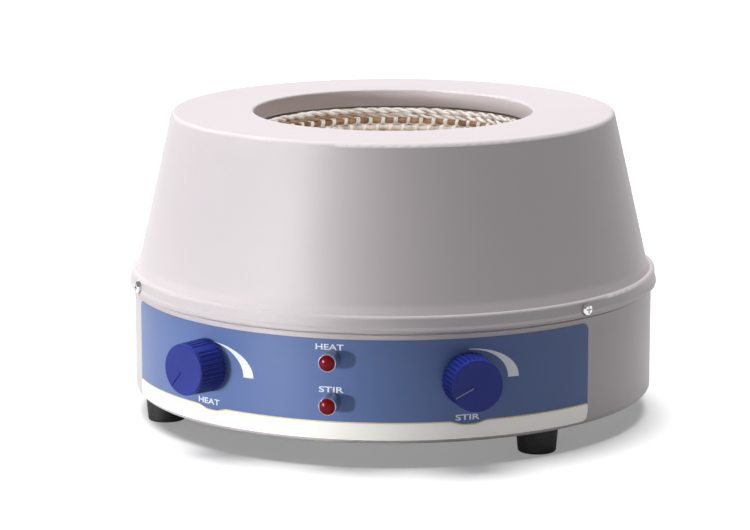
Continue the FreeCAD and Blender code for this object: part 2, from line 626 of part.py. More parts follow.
def control_board():
    """Power control board with its heatsink. Returns its screws."""
    top = BOARD_Z + BOARD_T
    board = box(BOARD_X, BOARD_Y, (BOARD_Z, top))
    posts, screws = [], []
    for x, y in BOARD_SCREWS:
        board = board.cut(cyl(M3 + 0.1, BOARD_Z - 1, top + 1, x, y))
        posts.append(tube(3.0, M3, FLOOR_Z, BOARD_Z, x, y))
        screws.append(lifted(pan_head(M3, 5.0, 2.7, 1.8), x, y, top))
        screws.append(lifted(upside_down(pan_head(M3, 4.0, 2.7, 1.8), PLATE_Z), x, y, 0))
    sink_x, sink_y = BOARD_X[0] + 20, BOARD_Y[0] + 20
    sink = box((sink_x, sink_x + 4), (sink_y, sink_y + 34), (top, top + 28))
    fins = [box((sink_x - 9, sink_x), (y, y + 2), (top, top + 28))
            for y in [sink_y + i * 6.4 for i in range(6)]]
    triac = fuse(box((sink_x + 4, sink_x + 8.4), (sink_y + 12, sink_y + 22), (top + 4, top + 19)),
                 box((sink_x + 4, sink_x + 5.3), (sink_y + 12, sink_y + 22), (top + 19, top + 25)))
    legs = [box((sink_x + 6, sink_x + 6.6), (y, y + 0.9), (top, top + 4))
            for y in (sink_y + 14, sink_y + 16.6, sink_y + 19.2)]
    can_at = [(BOARD_X[1] - 14, BOARD_Y[1] - 24), (BOARD_X[1] - 30, BOARD_Y[1] - 22)]
    cans = [rounded(cyl(6.2, top, top + 20, x, y), 0.8, at_height(top + 20)) for x, y in can_at]
    choke = Part.makeTorus(8.0, 3.6, V(BOARD_X[1] - 17, BOARD_Y[0] + 22, top + 3.6))
    clamps = box((BOARD_X[0] + 16, BOARD_X[1] - 14), (BOARD_Y[1] - 12, BOARD_Y[1] - 3), (top, top + 10))
    for i in range(6):
        clamps = clamps.cut(cyl(1.7, top + 4, top + 11, BOARD_X[0] + 21 + i * 6, BOARD_Y[1] - 7.5))
    save("control_board", board)
    save("board_posts", *posts)
    save("triac_heatsink", fuse(sink, *fins))
    save("board_components", triac, *legs, *cans, choke, clamps)
    return screws


def stirrer_supply():
    """Small mains transformer that feeds the stirrer motor. Returns its screws."""
    x, y = SUPPLY_AT
    core = box((x - 22, x + 22), (y - 9, y + 9), (FLOOR_Z + 1.2, FLOOR_Z + 38))
    core = core.cut(box((x - 15, x - 7.5), (y - 10, y + 10), (FLOOR_Z + 8.5, FLOOR_Z + 30.7)))
    core = core.cut(box((x + 7.5, x + 15), (y - 10, y + 10), (FLOOR_Z + 8.5, FLOOR_Z + 30.7)))
    coil = box((x - 14.8, x + 14.8), (y - 17, y + 17), (FLOOR_Z + 8.7, FLOOR_Z + 30.5))
    coil = rounded(coil, 5.0, lambda e: e.BoundBox.ZLength > 20)
    coil = coil.cut(box((x - 7.6, x + 7.6), (y - 9.1, y + 9.1), (FLOOR_Z, FLOOR_Z + 40)))
    band = box((x - 36, x + 36), (y - 6, y + 6), (FLOOR_Z, FLOOR_Z + 1.2))
    cheeks = [box(sorted((x + s * 22, x + s * 23.2)), (y - 6, y + 6), (FLOOR_Z, FLOOR_Z + 39.2))
              for s in (-1, 1)]
    band = fuse(band, *cheeks, box((x - 23.2, x + 23.2), (y - 6, y + 6), (FLOOR_Z + 38, FLOOR_Z + 39.2)))
    screws = []
    for sx, sy in SUPPLY_SCREWS:
        band = band.cut(cyl(M3 + 0.2, FLOOR_Z - 1, FLOOR_Z + 3, sx, sy))
        screws.append(lifted(pan_head(M3, 5.0, 2.7, 1.8), sx, sy, FLOOR_Z + 1.2))
    save("transformer_core", core)
    save("transformer_coil", coil)
    save("transformer_bracket", band)
    return screws


def terminal_block():
    """Two-way ceramic block that joins the heater leads to the mains wiring. Returns its screw."""
    x, y = BLOCK_AT
    block = box((x - 15, x + 15), (y - 9, y + 9), (FLOOR_Z, FLOOR_Z + 16))
    block = rounded(block, 1.5, lambda e: e.BoundBox.ZLength > 10)
    for s in (-1, 1):
        block = block.cut(Part.makeCylinder(2.4, 20, V(x + s * 8, y - 10, FLOOR_Z + 7), V(0, 1, 0)))
        block = block.cut(cyl(2.6, FLOOR_Z + 7, FLOOR_Z + 17, x + s * 8, y + 4))
        block = block.cut(cyl(2.6, FLOOR_Z + 7, FLOOR_Z + 17, x + s * 8, y - 4))
    block = block.cut(cyl(M3 + 0.2, FLOOR_Z - 1, FLOOR_Z + 17, x, y))
    block = block.cut(cyl(3.0, FLOOR_Z + 10, FLOOR_Z + 17, x, y))
    save("terminal_block", block)
    return [lifted(pan_head(M3, 12.4, 2.7, 1.8), x, y, FLOOR_Z + 10)]


def heater_lead(side):
    x, y = BLOCK_AT
    return wire([(side * 1.6, 109.5, 175.0), (side * 1.8, 112, 150), (side * 5, 131, 110),
                 (side * 10, 137, 70), (side * 9, 122, 34), (x + side * 8, y + 9.6, FLOOR_Z + 7)], 1.3)


def mains_leads():
    """Inlet to switch, and inlet, switch and heater block to the clamps on the control board."""
    clamp_y = BOARD_Y[1] - 2.2
    neutral = [(20, 129.4, 53.7), (20, 121, 48), (0, 105, 43), (-36, 93, 40), (-66, 90, 38), (-79, 84, 35),
               (-81, clamp_y, 32)]
    live = [(6, 129.9, 53.7), (3, 125, 54), (-8, 124, 56), (-20, 129, 56), (-20, 135.7, 55.5)]
    switched = [(-20, 135.7, 43.5), (-24, 127, 42), (-45, 110, 40), (-70, 98, 38), (-84, 88, 35),
                (-87, clamp_y, 32)]
    heater_a = [(-8, 78.8, 25), (-10, 74, 26), (-24, 71.5, 29), (-45, 78, 34), (-64, 83, 36), (-74, 79, 34.5),
                (-75, clamp_y, 32)]
    heater_b = [(8, 78.8, 25), (6, 70, 25), (-14, 64, 27), (-40, 68, 33), (-58, 76, 35), (-67, 77, 34),
                (-69, clamp_y, 32)]
    return [wire(path, 1.2) for path in (neutral, live, switched, heater_a, heater_b)]


def motor_lead(side):
    return wire([(side * 3.0, 21.3, 34), (side * 3.0, 30, 32), (-20, 37 + side * 3, 30),
                 (-42, 34 + side * 3, 33), (-50, 32 + side * 3, 31.5),
                 (-52.5, 31 + side * 3, BOARD_Z + BOARD_T + 0.6)], 0.9)


def wiring():
    save("heater_leads", *[heater_lead(side) for side in (-1, 1)])
    save("mains_leads", *mains_leads())
    save("motor_leads", *[motor_lead(side) for side in (-1, 1)])


def main():
    os.makedirs("parts", exist_ok=True)
    save("hood_shell", hood_shell())
    save("base_shell", base_shell())
    save("base_plate", base_plate())
    save("front_label", front_label())
    hood_fasteners()
    heater()
    heat_shield()
    save("base_nuts", *foot_set(), *stirrer_drive())
    stirrer_rotor()
    pot_nuts = [control("heat", -KNOB_AZ, HEAT_POINTER), control("stir", KNOB_AZ, STIR_POINTER)]
    leds, lamp_nuts = zip(lamp("heat", LAMP_HIGH_Z), lamp("stir", LAMP_LOW_Z))
    save("lamp_leds", *leds)
    save("panel_nuts", *pot_nuts, *lamp_nuts)
    mains_inlet()
    mains_switch()
    save("floor_screws", *control_board(), *stirrer_supply(), *terminal_block())
    wiring()


main()
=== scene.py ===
"""Looks of a stirring heating mantle: its finishes, printed label, control marks, a painted highlight in the
stirrer knob's pointer groove and knitted glass-yarn bowl.

Sizes are in millimetres until new_piece() turns them into metres. The front of the object faces -Y.
"""

import json
import math

import bpy
import numpy as np
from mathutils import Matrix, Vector

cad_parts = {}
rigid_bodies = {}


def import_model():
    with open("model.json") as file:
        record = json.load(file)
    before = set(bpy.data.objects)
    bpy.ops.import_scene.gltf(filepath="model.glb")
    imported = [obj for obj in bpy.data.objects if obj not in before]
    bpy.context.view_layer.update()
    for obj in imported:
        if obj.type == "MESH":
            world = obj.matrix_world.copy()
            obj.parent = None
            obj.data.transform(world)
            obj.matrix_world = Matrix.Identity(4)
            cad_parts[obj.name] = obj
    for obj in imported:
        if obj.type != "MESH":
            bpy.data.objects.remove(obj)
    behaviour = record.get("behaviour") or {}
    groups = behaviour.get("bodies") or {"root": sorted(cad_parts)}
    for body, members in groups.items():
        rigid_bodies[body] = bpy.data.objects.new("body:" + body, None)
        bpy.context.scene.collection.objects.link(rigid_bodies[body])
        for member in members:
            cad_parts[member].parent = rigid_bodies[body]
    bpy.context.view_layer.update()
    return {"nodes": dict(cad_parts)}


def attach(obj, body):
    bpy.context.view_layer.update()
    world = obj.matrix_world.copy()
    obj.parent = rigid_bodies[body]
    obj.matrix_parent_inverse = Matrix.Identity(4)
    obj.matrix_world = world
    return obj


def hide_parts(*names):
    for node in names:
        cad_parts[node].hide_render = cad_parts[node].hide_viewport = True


MM = 0.001

# Label. u runs round the film to the viewer's right from the middle of the front, z is height.
FILM_R = 165.3  # outer face of the film
FILM_BACK = 165.04
LABEL_LOW = 17.6
LABEL_HALF = math.radians(59.3)
LABEL_CORNER = 5.0
BAND_TOP = 27.6  # top of the white band
GOLD_W = 0.8
DIP_DEPTH = 2.1
DIP_FLAT = 2.5
DIP_HALF = 13.0
INK_BACK = 0.005  # back of a print, just off the film
BAND_LIFT = 0.035  # the prints' faces, out from the film
SWEEP_LIFT = 0.04
WORD_LIFT = 0.045
GOLD_LIFT = 0.05
OVERLAP = 0.03  # how far the white band reaches past the film's edges
SWEEP_CENTRES = {"heat": (-81.0, 49.9), "stir": (84.8, 53.0)}
SWEEP_INNER = (25.0, 18.6)  # horizontal and vertical radii
SWEEP_OUTER = (32.2, 19.1)
WORD_TALL = 3.6
WORDS = {  # the word, its place round the film, its height on the casing and its width
    "legend_heat_lamp": ("HEAT", 1.0, 73.6, 17.2),
    "legend_stir_lamp": ("STIR", 1.9, 47.7, 15.2),
    "legend_heat_knob": ("HEAT", -83.8, 31.3, 18.0),
    "legend_stir_knob": ("STIR", 84.0, 30.5, 15.0),
}

# Knitted bowl
BOWL_Z = 178.0
BOWL_R = 87.5  # middle of the knitted layer
ROW_PITCH = 4.9
STITCH = 8.7
RIM_ROWS = (0.2, 3.2)  # distances down from the rim of the two twisted rows
FIRST_CORD = 6.5
PLY_SWING = (1.0, 1.1)  # how far a ply of a twisted row swings, sideways and in depth
PLY_HALF = (1.15, 0.95)  # half width and half depth of each yarn
CORD_HALF = (2.0, 1.8)
SIDE_HALF = (0.55, 0.5)
TIE_HALF = (0.72, 0.62)
CORD_PINCH = 0.42  # share of a cord's width that its ties squeeze away
SIDE_AWAY = 2.45  # from the middle of a cord to the yarns along its sides
SIDE_DRAWN = 0.55  # how far a tie draws them in
TIE_REACH = 2.6  # half the length of a tie, across its cord
TIE_APART = 0.6  # half the distance between the two ties of a pair
BACKING_R = (88.3, 89.4)  # faces of the cloth behind the yarns
MOUTH = [(104.0, 178.1), (104.0, 179.7), (103.4, 180.2), (90.5, 180.2), (89.0, 179.6), (88.4, 178.6)]

# Controls
BASE_R = 165.0
KNOB_AZ = 29.0
KNOB_Z = 54.1
KNOB_FACE = 22.0
STIR_POINTER = -116.0
POINTER_SPAN = (2.6, 15.0)  # distances from the knob's axis
# size of the painted highlight strip in the stirrer knob's pointer groove
POINTER_HIGHLIGHT_STRIP = (0.34, 0.74)  # half width, and depth of its lower edge
SWITCH_X = 20.0
SWITCH_Z = 49.5
POCKET_Y = 160.5
ROCKER_PIVOT = -1.5
ROCKER_SWING = 9.0
ROCKER_END = 8.1
ROCKER_LIFT = 2.6
ROCKER_VALLEY = 1.9
BAR_HALF = (0.35, 1.6)
RING_R = (1.7, 1.1)
MARK_HALF = 0.03  # half the thickness of the marks

# Studio, in metres, watts and degrees
KEY_AZ = -35.5
KEY_EDGE = 0.106  # where the beam's right edge falls, across the beam from the axis
KEY_WIDE = 0.40
KEY_TALL = 0.36
KEY_Z = 0.09
KEY_AWAY = 1.3
KEY_RISE = 0.04
KEY_SPREAD = 6.0
KEY_POWER = 0.345
KEY_ROLL = 10.0
FLOOR_GLOW = (0.04, 0.24)  # light given off by the table, towards the casing and towards the camera
FLOOR_BOUNCE = (0.25, 0.25, 0.25)
WORLD_FILL = 0.045
WORLD_GLOSSY = 0.32
WORLD_SEEN = 1.05
OVERHEAD = {"azimuth": -140.0, "height": 74.0, "softness": 55.0, "strength": 5.3}
FILL = {"location": (0.40, -1.60, 0.20), "target": (0, 0, 0.05), "size": 1.2, "size_y": 0.3, "power": 1.55}
BOWL_LAMP = {"location": (0.10, -0.80, 1.15), "target": (0, 0.05, 0.17), "size": 0.10, "power": 10.0}
GLINT = {"location": (-1.10, -1.20, 0.30), "target": (0, 0, 0.08), "size": 0.35, "power": 40.0}
FLOOR_HALF = 6.0
CAMERA_AZ = 13.5
CAMERA_DOWN = 11.32
CAMERA_AWAY = 2.0
CAMERA_Z = 0.4913
CAMERA_LENS = 152.784  # millimetres, on a 36 mm sensor
CAMERA_SHIFT = -0.024

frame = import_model()
NODES = frame["nodes"]
rng = np.random.RandomState(11)


# ---------------------------------------------------------------- meshes


def new_piece(name, verts, faces, material, body="housing", uv=None, smooth=True):
    """A mesh piece from millimetre vertices, riding on a body."""
    mesh = bpy.data.meshes.new(name)
    mesh.from_pydata((np.asarray(verts, float) * MM).tolist(), [], [list(map(int, f)) for f in faces])
    mesh.validate()
    if uv is not None:
        layer = mesh.uv_layers.new(name="UVMap")
        loop_verts = np.zeros(len(mesh.loops), np.int32)
        mesh.loops.foreach_get("vertex_index", loop_verts)
        layer.data.foreach_set("uv", np.asarray(uv, float)[loop_verts].ravel())
    mesh.polygons.foreach_set("use_smooth", [smooth] * len(mesh.polygons))
    mesh.update()
    obj = bpy.data.objects.new(name, mesh)
    bpy.context.scene.collection.objects.link(obj)
    obj.data.materials.append(material)
    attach(obj, body)
    return obj


class Strands:
    """Collects round strands into one mesh."""

    def __init__(self, sides):
        self.sides = sides
        self.verts, self.faces, self.uv = [], [], []
        self.count = 0

    def add(self, path, inward, wide, deep, closed=False):
        """A strand along path; inward is each section's depth direction, wide and deep are its half sizes."""
        path = np.asarray(path, float)
        n = len(path)
        wide = np.broadcast_to(wide, n)
        deep = np.broadcast_to(deep, n)
        if closed:
            along = np.roll(path, -1, 0) - np.roll(path, 1, 0)
        else:
            along = np.gradient(path, axis=0)
        along /= np.linalg.norm(along, axis=1)[:, None]
        normal = inward - (inward * along).sum(1)[:, None] * along
        normal /= np.linalg.norm(normal, axis=1)[:, None]
        side = np.cross(along, normal)
        angle = np.arange(self.sides) * 2 * math.pi / self.sides
        ring = (side[:, None, :] * (np.cos(angle)[None, :, None] * wide[:, None, None])
                + normal[:, None, :] * (np.sin(angle)[None, :, None] * deep[:, None, None]))
        verts = (path[:, None, :] + ring).reshape(-1, 3)
        length = np.concatenate([[0], np.cumsum(np.linalg.norm(np.diff(path, axis=0), axis=1))])
        uv = np.stack(np.broadcast_arrays(length[:, None] / 10, (angle / (2 * math.pi))[None, :]), -1)
        s = self.sides
        for i in range(n if closed else n - 1):
            a, b = self.count + i * s, self.count + ((i + 1) % n) * s
            for k in range(s):
                k2 = (k + 1) % s
                self.faces.append((a + k, b + k, b + k2, a + k2))
        if not closed:
            self.faces.append(tuple(self.count + k for k in range(s)))
            self.faces.append(tuple(self.count + (n - 1) * s + k for k in range(s))[::-1])
        self.verts.append(verts)
        self.uv.append(uv.reshape(-1, 2))
        self.count += n * s

    def piece(self, name, material, slot):
        return new_piece(name, np.concatenate(self.verts), self.faces, material,
                         uv=np.concatenate(self.uv))


def turned(name, profile, material, steps=192):
    """A closed (radius, height) profile turned about the Z axis."""
    radius, height = np.asarray(profile, float).T
    n = len(radius)
    angle = np.arange(steps)[:, None] * 2 * math.pi / steps
    height = np.broadcast_to(height, (steps, n))
    verts = np.stack([radius * np.cos(angle), radius * np.sin(angle), height], -1)
    faces = []
    for i in range(steps):
        a, b = i * n, ((i + 1) % steps) * n
        for k in range(n):
            k2 = (k + 1) % n
            faces.append((a + k, b + k, b + k2, a + k2))
    return new_piece(name, verts.reshape(-1, 3), faces, material)


# ---------------------------------------------------------------- node materials


class Nodes:
    """Short hand for building a node tree on a Principled material."""

    def __init__(self, name):
        self.material = bpy.data.materials.new(name)
        self.material.use_nodes = True
        self.tree = self.material.node_tree
        self.shader = self.tree.nodes["Principled BSDF"]
        self.coords = self.tree.nodes.new("ShaderNodeTexCoord")

    def make(self, kind, inputs=None, **settings):
        node = self.tree.nodes.new(kind)
        for key, value in settings.items():
            setattr(node, key, value)
        for key, value in (inputs or {}).items():
            self.set(node.inputs[key], value)
        return node

    def set(self, socket, value):
        if isinstance(value, bpy.types.NodeSocket):
            self.tree.links.new(value, socket)
        else:
            socket.default_value = value

    def scaled(self, scale, vector=None):
        mapping = self.make("ShaderNodeMapping", {"Scale": scale,
                                                  "Vector": vector or self.coords.outputs["Object"]})
        return mapping.outputs["Vector"]

    def noise(self, scale, detail=2.0, vector=None, distortion=0.0):
        node = self.make("ShaderNodeTexNoise", {"Scale": scale, "Detail": detail, "Distortion": distortion,
                                                "Vector": vector or self.coords.outputs["Object"]})
        return node.outputs["Fac"]

    def ramp(self, value, stops):
        node = self.make("ShaderNodeValToRGB", {"Fac": value})
        ramp = node.color_ramp
        while len(ramp.elements) < len(stops):
            ramp.elements.new(0.5)
        for element, (at, colour) in zip(ramp.elements, stops):
            element.position = at
            element.color = (*colour, 1.0)
        return node.outputs["Color"]

    def span(self, value, low, high):
        node = self.make("ShaderNodeMapRange", {"Value": value, "To Min": low, "To Max": high})
        return node.outputs["Result"]

    def mix(self, factor, a, b, blend="MIX"):
        node = self.make("ShaderNodeMix", data_type="RGBA", blend_type=blend)
        for index, value in ((0, factor), (6, a), (7, b)):
            if isinstance(value, tuple):
                value = (*value, 1.0)
            self.set(node.inputs[index], value)
        return node.outputs[2]

    def maths(self, operation, a, b=0.0):
        node = self.make("ShaderNodeMath", operation=operation)
        self.set(node.inputs[0], a)
        self.set(node.inputs[1], b)
        return node.outputs[0]

    def bump(self, height, strength, distance):
        node = self.make("ShaderNodeBump", {"Height": height, "Strength": strength, "Distance": distance})
        return node.outputs["Normal"]

    def finish(self, **inputs):
        names = {"colour": "Base Color", "roughness": "Roughness", "metallic": "Metallic", "normal": "Normal",
                 "coat": "Coat Weight", "coat_roughness": "Coat Roughness", "sheen": "Sheen Weight",
                 "specular": "Specular IOR Level", "transmission": "Transmission Weight", "ior": "IOR",
                 "emission": "Emission Strength", "emission_colour": "Emission Color"}
        for key, value in inputs.items():
            if isinstance(value, tuple):
                value = (*value, 1.0)
            self.set(self.shader.inputs[names[key]], value)
        return self.material


def shades(colour, spread):
    """The colour's darker and lighter neighbours."""
    return (tuple(c * (1 - spread) for c in colour), tuple(min(1.0, c * (1 + spread)) for c in colour))


def powder_coat():
    """Satin powder coat with a fine orange peel."""
    n = Nodes("powder_coat")
    dark, light = shades((0.600, 0.552, 0.570), 0.02)
    colour = n.ramp(n.noise(9.0, 4.0), [(0.3, dark), (0.7, light)])
    peel = n.noise(1100.0, 2.0)
    speck = n.noise(3800.0, 1.0)
    height = n.maths("ADD", peel, n.maths("MULTIPLY", speck, 0.35))
    return n.finish(colour=colour, roughness=n.span(n.noise(400.0, 3.0), 0.36, 0.48),
                    normal=n.bump(height, 0.22, 0.00006), specular=0.45)


def printed_film(name, colour, roughness=0.34, specular=0.45, painted_glow=0.0):
    """Printed polycarbonate film with a faint grain; the whites carry a faint painted glow."""
    n = Nodes(name)
    dark, light = shades(colour, 0.03)
    tint = n.ramp(n.noise(14.0, 3.0), [(0.35, dark), (0.65, light)])
    # emission gives the whites a painted glow, standing in for light that falls short on them
    return n.finish(colour=tint, roughness=n.span(n.noise(700.0, 2.0), roughness - 0.04, roughness + 0.06),
                    normal=n.bump(n.noise(2600.0, 2.0), 0.10, 0.00003), specular=specular,
                    emission=painted_glow, emission_colour=colour)


def moulded(name, colour, roughness, grain=1800.0, strength=0.15, coat=0.0, specular=0.5):
    """Moulded plastic with a spark-eroded grain and faint scuffs."""
    n = Nodes(name)
    dark, light = shades(colour, 0.07)
    tint = n.ramp(n.noise(60.0, 3.0), [(0.35, dark), (0.65, light)])
    scuff = n.span(n.noise(90.0, 6.0, distortion=0.8), roughness - 0.06, roughness + 0.08)
    return n.finish(colour=tint, roughness=scuff, coat=coat, coat_roughness=0.2, specular=specular,
                    normal=n.bump(n.noise(grain, 2.0), strength, 0.00008))


def rubber():
    """Dull black rubber with a fine pitted grain."""
    n = Nodes("foot_rubber")
    tint = n.ramp(n.noise(120.0, 4.0), [(0.35, (0.006, 0.006, 0.007)), (0.7, (0.016, 0.016, 0.017))])
    return n.finish(colour=tint, roughness=n.span(n.noise(300.0, 3.0), 0.5, 0.72),
                    normal=n.bump(n.noise(1500.0, 3.0), 0.3, 0.0001), specular=0.4)


def metal(name, colour, roughness, stretch=(1, 1, 1), grain=900.0, strength=0.12):
    """Plated or machined metal. stretch draws the grain out along an axis."""
    n = Nodes(name)
    where = n.scaled(stretch)
    dark, light = shades(colour, 0.10)
    grains = n.noise(grain, 4.0, vector=where)
    tint = n.ramp(n.noise(40.0, 3.0), [(0.3, dark), (0.7, light)])
    return n.finish(colour=tint, metallic=1.0, roughness=n.span(grains, roughness - 0.07, roughness + 0.1),
                    normal=n.bump(grains, strength, 0.00005))


def satin_bezel_painted_blue():
    """Satin chrome with faint smudges, tinted blue as a painted reflection of the blue label around it."""
    n = Nodes("bezel_satin_painted_blue")
    smudge = n.noise(160.0, 4.0)
    # the blue tint is a painted reflection of the label
    return n.finish(colour=(0.38, 0.42, 0.55), metallic=1.0, roughness=n.span(smudge, 0.30, 0.40),
                    normal=n.bump(n.noise(500.0, 2.0), 0.04, 0.00004))


def red_lens_rim_shaded():
    """Red moulded lens, darker towards the rim as painted shade."""
    n = Nodes("lens_red")
    # painted shade: the red darkens as the surface turns away from the view
    painted_rim_shade = n.make("ShaderNodeLayerWeight", {"Blend": 0.35}).outputs["Facing"]
    tint = n.ramp(painted_rim_shade, [(0.0, (0.085, 0.001, 0.003)), (0.45, (0.045, 0.0, 0.002)),
                           (1.0, (0.012, 0.0, 0.001))])
    return n.finish(colour=tint, roughness=n.span(n.noise(300.0, 2.0), 0.13, 0.20), specular=0.12,
                    normal=n.bump(n.noise(900.0, 1.0), 0.05, 0.00004),
                    emission=0.03, emission_colour=(0.8, 0.0, 0.01))


def yarn_nodes(name, light, mid, dark, twist):
    """Fine filaments running along the strand: the tree, its colour and its filament height."""
    n = Nodes(name)
    lay = n.make("ShaderNodeMapping", {"Vector": n.coords.outputs["UV"], "Rotation": (0, 0, twist),
                                       "Scale": (1.0, 9.0, 1.0)})
    filaments = n.noise(3.2, 5.0, vector=n.scaled((0.8, 3.0, 1.0), lay.outputs["Vector"]))
    base = n.ramp(n.noise(170.0, 3.0), [(0.30, dark), (0.50, mid), (0.66, light)])
    shade = n.ramp(filaments, [(0.35, (0.62, 0.58, 0.54)), (0.58, (1.0, 1.0, 1.0))])
    return n, n.mix(0.75, base, shade, "MULTIPLY"), filaments


def yarn_finish(n, colour, filaments):
    """Silky glass filaments."""
    return n.finish(colour=colour, roughness=n.span(filaments, 0.30, 0.55), sheen=0.3,
                    normal=n.bump(filaments, 0.6, 0.0003), specular=0.8)


def yarn(name, light, mid, dark, twist):
    """Glass yarn: uneven tone and a silky sheen."""
    return yarn_finish(*yarn_nodes(name, light, mid, dark, twist))


def yarn_warming():
    """White yarn that turns brown towards the left of the bowl, where the heater's tails lie under it."""
    n, colour, filaments = yarn_nodes("yarn_warming", *WHITE_TONES, 0.35)
    place = n.make("ShaderNodeSeparateXYZ", {"Vector": n.coords.outputs["Object"]})
    white = n.make("ShaderNodeMapRange", {"Value": place.outputs["X"], "From Min": WARM_X[0],
                                          "From Max": WARM_X[1]})
    browned = n.mix(1.0, colour, WARM_TINT, "MULTIPLY")
    return yarn_finish(n, n.mix(white.outputs["Result"], browned, colour), filaments)


def wool(name, colour):
    """Matted glass wool."""
    n = Nodes(name)
    dark, light = shades(colour, 0.18)
    fibres = n.noise(420.0, 8.0, distortion=2.5)
    return n.finish(colour=n.ramp(fibres, [(0.3, dark), (0.7, light)]), roughness=0.9, sheen=0.25,
                    normal=n.bump(fibres, 0.7, 0.0006))


def knit_backing_painted_shade():
    """The cloth behind the rows of yarn, coloured dark as painted shade in the gaps between the yarns."""
    n = Nodes("knit_backing_painted_shade")
    fibres = n.noise(900.0, 6.0, distortion=1.5)
    # dark browns: painted shade for the gaps between the yarns
    tint = n.ramp(fibres, [(0.3, (0.20, 0.155, 0.11)), (0.7, (0.46, 0.40, 0.33))])
    return n.finish(colour=tint, roughness=0.9, normal=n.bump(fibres, 0.6, 0.0004))


def circuit_board():
    """Green solder mask over a pattern of tracks."""
    n = Nodes("board_green")
    tones = {"Color1": (0.012, 0.13, 0.05, 1), "Color2": (0.012, 0.11, 0.042, 1),
             "Mortar": (0.02, 0.22, 0.09, 1)}
    tracks = n.make("ShaderNodeTexBrick", {"Vector": n.scaled((260, 260, 260)), **tones, "Mortar Size": 0.08},
                    offset=0.37, squash=1.6)
    return n.finish(colour=tracks.outputs["Color"], roughness=n.span(n.noise(500.0), 0.25, 0.4), coat=0.4,
                    normal=n.bump(tracks.outputs["Fac"], 0.3, 0.0001))


def laminations():
    """Edges of stacked steel sheets."""
    n = Nodes("core_laminations")
    wave = n.make("ShaderNodeTexWave", {"Scale": 320.0, "Distortion": 0.4,
                                        "Vector": n.coords.outputs["Object"]}, bands_direction="Y")
    tint = n.ramp(wave.outputs["Fac"], [(0.2, (0.05, 0.045, 0.04)), (0.8, (0.20, 0.19, 0.18))])
    return n.finish(colour=tint, metallic=0.8, roughness=0.5, normal=n.bump(wave.outputs["Fac"], 0.5, 0.0002))


def clear_glass():
    """Glass of the fuse's tube."""
    n = Nodes("fuse_glass")
    return n.finish(colour=(0.92, 0.96, 0.95), transmission=0.9, ior=1.5,
                    roughness=n.span(n.noise(200.0, 2.0), 0.02, 0.08))


def braided_sleeve(name, colour):
    """Sleeved lead: crossing diagonal plaits."""
    n = Nodes(name)
    dark, light = shades(colour, 0.22)
    plaits = n.make("ShaderNodeTexWave", {"Scale": 420.0, "Distortion": 3.0, "Detail": 2.0,
                                          "Vector": n.coords.outputs["Object"]}, bands_direction="DIAGONAL")
    return n.finish(colour=n.ramp(plaits.outputs["Fac"], [(0.2, dark), (0.8, light)]), roughness=0.7,
                    normal=n.bump(plaits.outputs["Fac"], 0.6, 0.0003))


PAINT = powder_coat()
ZINC = metal("zinc_plate", (0.62, 0.63, 0.65), 0.34, grain=500.0)
SCREW = metal("bright_screw", (0.70, 0.70, 0.71), 0.20, grain=1500.0, strength=0.08)
BRASS = metal("turned_brass", (0.74, 0.52, 0.22), 0.28, stretch=(1, 1, 6))
CONTACT = metal("plated_contact", (0.76, 0.72, 0.62), 0.22)
ALUMINIUM = metal("mill_aluminium", (0.78, 0.78, 0.79), 0.36, stretch=(1, 14, 1))
SPUN = metal("spun_steel", (0.60, 0.60, 0.59), 0.33, stretch=(1, 1, 12))
MOTOR = metal("motor_can", (0.52, 0.51, 0.49), 0.32, stretch=(1, 1, 9))
BLUE_FILM = printed_film("label_blue", (0.118, 0.182, 0.400), specular=0.25)
# the white prints glow a little: painted light
WHITE_PRINT = printed_film("label_white", (0.97, 0.94, 0.89), painted_glow=0.13)
LEGEND_PRINT = printed_film("legend_white", (0.82, 0.86, 0.92), painted_glow=0.06)
GOLD_PRINT = printed_film("label_gold", (0.86, 0.72, 0.34), 0.28)
MARK_WHITE = moulded("mark_white", (0.80, 0.80, 0.78), 0.4)
# pale colour of the painted highlight in the stirrer knob's pointer groove
POINTER_HIGHLIGHT = moulded("pointer_painted_highlight", (0.30, 0.32, 0.52), 0.35)
KNOB = moulded("knob_blue", (0.020, 0.034, 0.25), 0.42, grain=1500.0, strength=0.12, specular=0.25)
BLACK = moulded("moulded_black", (0.014, 0.014, 0.015), 0.45)
GLOSS_BLACK = moulded("gloss_black", (0.012, 0.012, 0.013), 0.22, coat=0.5)
CERAMIC = moulded("block_ceramic", (0.78, 0.76, 0.70), 0.55, grain=700.0, strength=0.3)
FERRITE = moulded("magnet_ferrite", (0.045, 0.045, 0.05), 0.5, grain=500.0, strength=0.35)
TAPE = moulded("coil_tape", (0.66, 0.40, 0.08), 0.35)
RED_LEAD = moulded("lead_red", (0.42, 0.02, 0.02), 0.4)
BROWN_LEAD = moulded("lead_brown", (0.12, 0.045, 0.02), 0.4)
BEZEL = satin_bezel_painted_blue()
LENS = red_lens_rim_shaded()
WHITE_TONES = ((1.0, 0.97, 0.94), (0.90, 0.86, 0.82), (0.62, 0.55, 0.49))
WARM_TINT = (0.52, 0.36, 0.25)
WARM_X = (-0.045, -0.005)  # metres; brown at the first place, white from the second
YARN_WHITE = yarn("yarn_white", *WHITE_TONES, 0.35)
YARN_CORD = yarn("yarn_cord", (0.90, 0.85, 0.80), (0.70, 0.63, 0.58), (0.42, 0.35, 0.30), 0.7)
YARN_TIE = yarn("yarn_tie", (1.0, 0.97, 0.93), (0.95, 0.90, 0.84), (0.72, 0.66, 0.60), 0.2)
HEATER_CORD = yarn("heater_cord", (0.46, 0.25, 0.11), (0.28, 0.14, 0.055), (0.11, 0.05, 0.02), 0.7)

